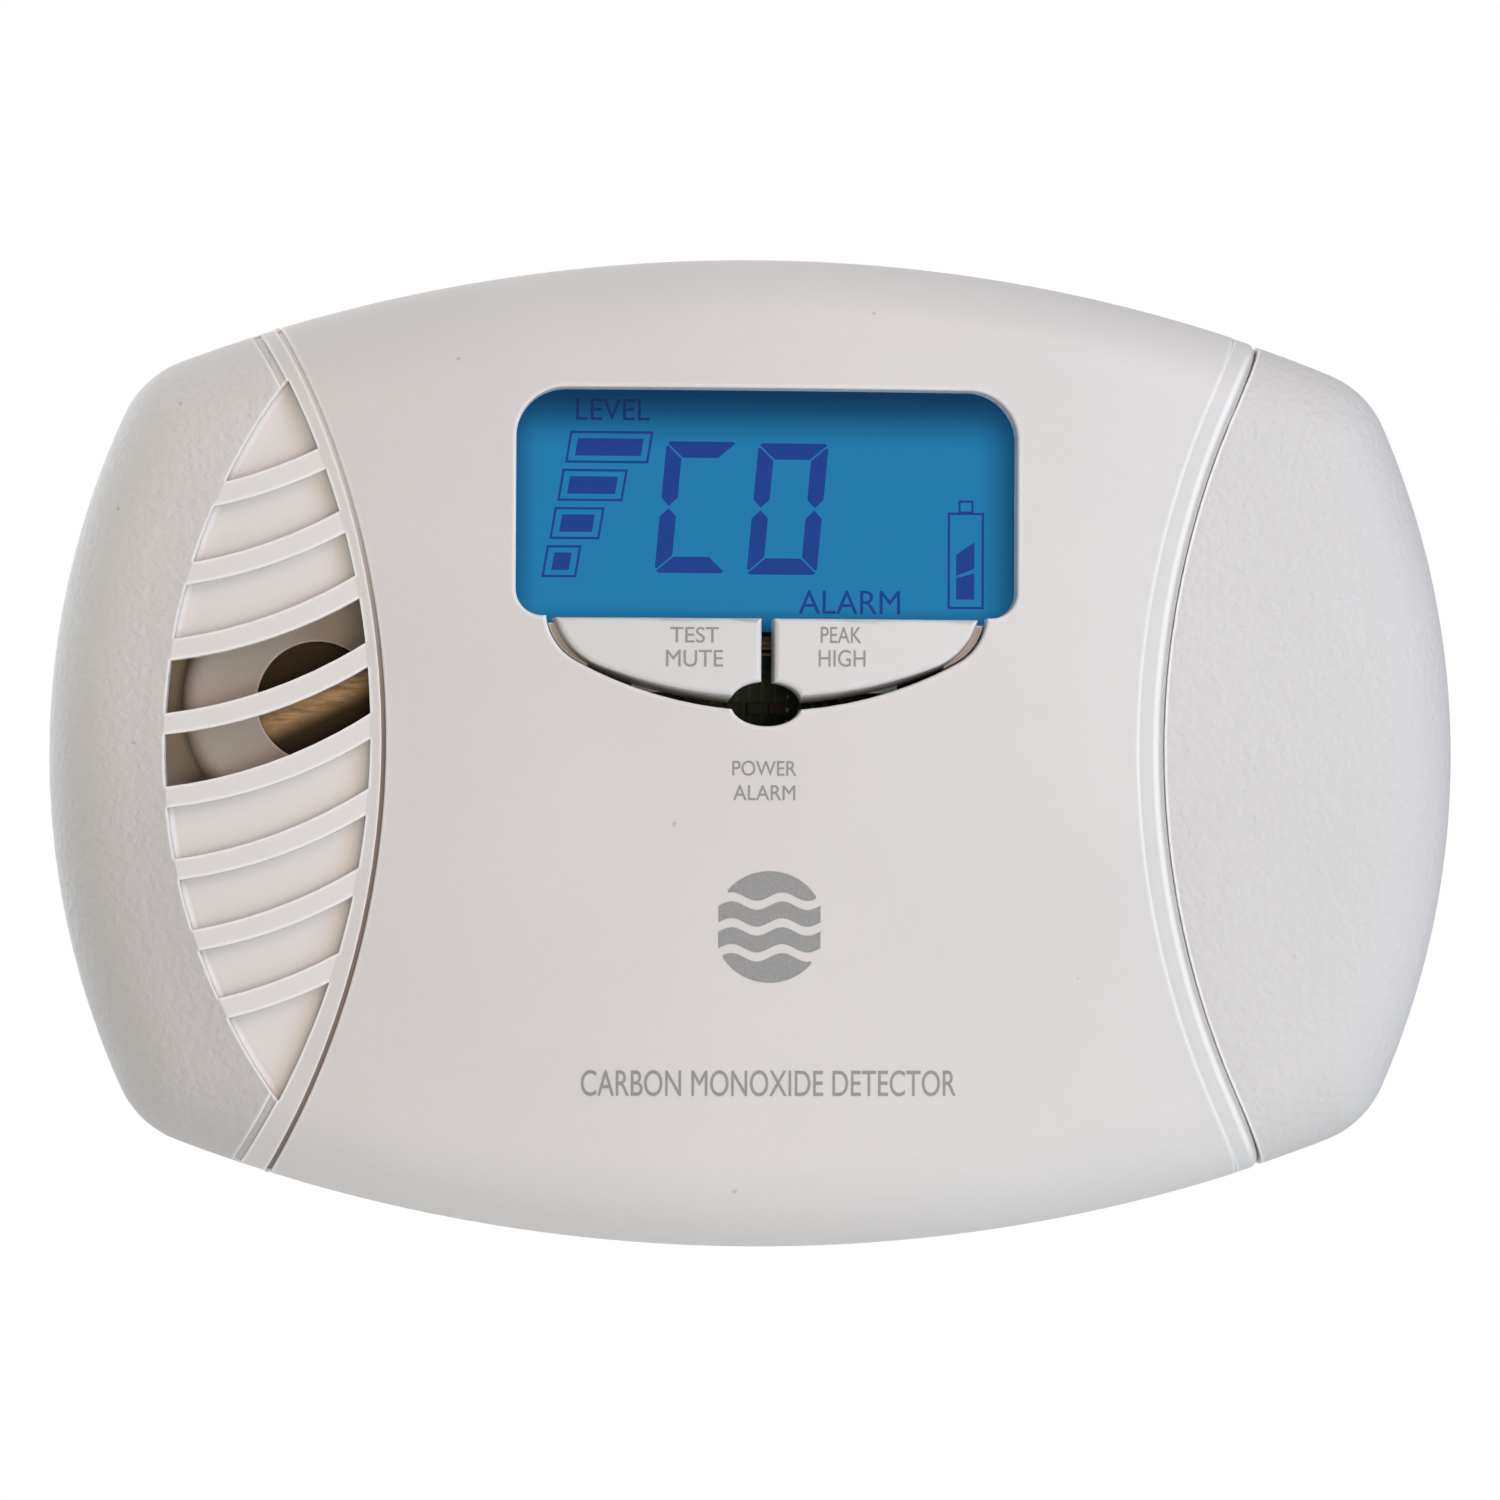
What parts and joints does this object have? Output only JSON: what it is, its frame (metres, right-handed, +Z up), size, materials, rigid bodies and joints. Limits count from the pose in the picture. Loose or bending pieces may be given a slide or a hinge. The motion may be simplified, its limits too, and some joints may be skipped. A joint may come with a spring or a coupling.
{
  "type": "plug-in carbon monoxide detector",
  "caption": "Plug-in carbon monoxide alarm with a blue backlit display, two push buttons, a curved louvred horn vent and a battery bay at the back.",
  "frame": {"origin": "centre of the flat back, on the wall, midway between the plug blades", "axes": "+X to the right as seen from the front, +Y out of the back into the wall, +Z up; the display faces -Y"},
  "size_m": [0.1402, 0.055, 0.0972],
  "materials": {
    "cover_plastic": "fine grained, warm white",
    "housing_plastic": "grained, warm white",
    "door_plastic": "grained, warm white",
    "label": "blank satin label",
    "button_plastic": "smooth satin",
    "switch_body": "moulded",
    "switch_plunger": "moulded",
    "circuit_board": "solder mask over copper tracks",
    "holder_plastic": "moulded, black",
    "light_guide": "polished, frosted back",
    "display_glass": "polished",
    "display_film": "lit blue display with dark segments",
    "gold_contact": "plated",
    "horn_plastic": "moulded, grey brown",
    "piezo_brass": "brushed",
    "cell_steel": "drawn",
    "gas_cap": "moulded",
    "battery_wrap": "plain wrapped cell",
    "spring_steel": "plated",
    "blade_metal": "plated, lightly scuffed",
    "carrier_plastic": "moulded",
    "mains_insulation": "insulated wire",
    "red_insulation": "insulated wire",
    "black_insulation": "insulated wire",
    "chip_resin": "moulded resin",
    "film_capacitor": "potted box",
    "capacitor_sleeve": "shrunk sleeve",
    "ferrite": "sintered",
    "copper_winding": "enamelled wire",
    "lamp_lens": "clear chip lamps",
    "chip_ceramic": "ceramic chips",
    "screw_steel": "zinc plated"
  },
  "bodies": {
    "root": {"amplifier_chip": "chip_resin", "battery_contacts": "spring_steel", "battery_springs": "spring_steel", "blade_carrier": "carrier_plastic", "board_screws": "screw_steel", "case_screws": "screw_steel", "chip_components": "chip_ceramic", "controller_chip": "chip_resin", "display_contacts": "gold_contact", "display_film": "display_film", "display_front_glass": "display_glass", "display_holder": "holder_plastic", "display_rear_glass": "display_glass", "front_cover": "cover_plastic", "gas_cell_can": "cell_steel", "gas_cell_cap": "gas_cap", "horn_base": "horn_plastic", "horn_cap": "horn_plastic", "horn_coil_core": "ferrite", "horn_coil_winding": "copper_winding", "indicator_lamps": "lamp_lens", "left_blade": "blade_metal", "light_guide": "light_guide", "line_capacitor": "film_capacitor", "lower_battery": "battery_wrap", "main_board": "circuit_board", "mains_wires": "mains_insulation", "negative_lead": "black_insulation", "peak_switch_body": "switch_body", "piezo_disc": "piezo_brass", "positive_lead": "red_insulation", "rating_label": "label", "rear_housing": "housing_plastic", "right_blade": "blade_metal", "smoothing_capacitors": "capacitor_sleeve", "test_switch_body": "switch_body", "upper_battery": "battery_wrap"},
    "test_button": {"test_button": "button_plastic", "test_switch_plunger": "switch_plunger"},
    "peak_button": {"peak_button": "button_plastic", "peak_switch_plunger": "switch_plunger"},
    "battery_door": {"battery_door": "door_plastic"}
  },
  "joints": [
    {"name": "test_press", "type": "slide", "parent": "root", "child": "test_button", "axis": [0, 1, 0], "range_m": [0, 0.0008], "stiffness_N_per_m": 1500, "springref_m": -0.0004},
    {"name": "peak_press", "type": "slide", "parent": "root", "child": "peak_button", "axis": [0, 1, 0], "range_m": [0, 0.0008], "stiffness_N_per_m": 1500, "springref_m": -0.0004},
    {"name": "battery_door_hinge", "type": "hinge", "parent": "root", "child": "battery_door", "pos_m": [0, -0.0009, -0.0074], "axis": [1, 0, 0], "range_deg": [0, 95]}
  ]
}
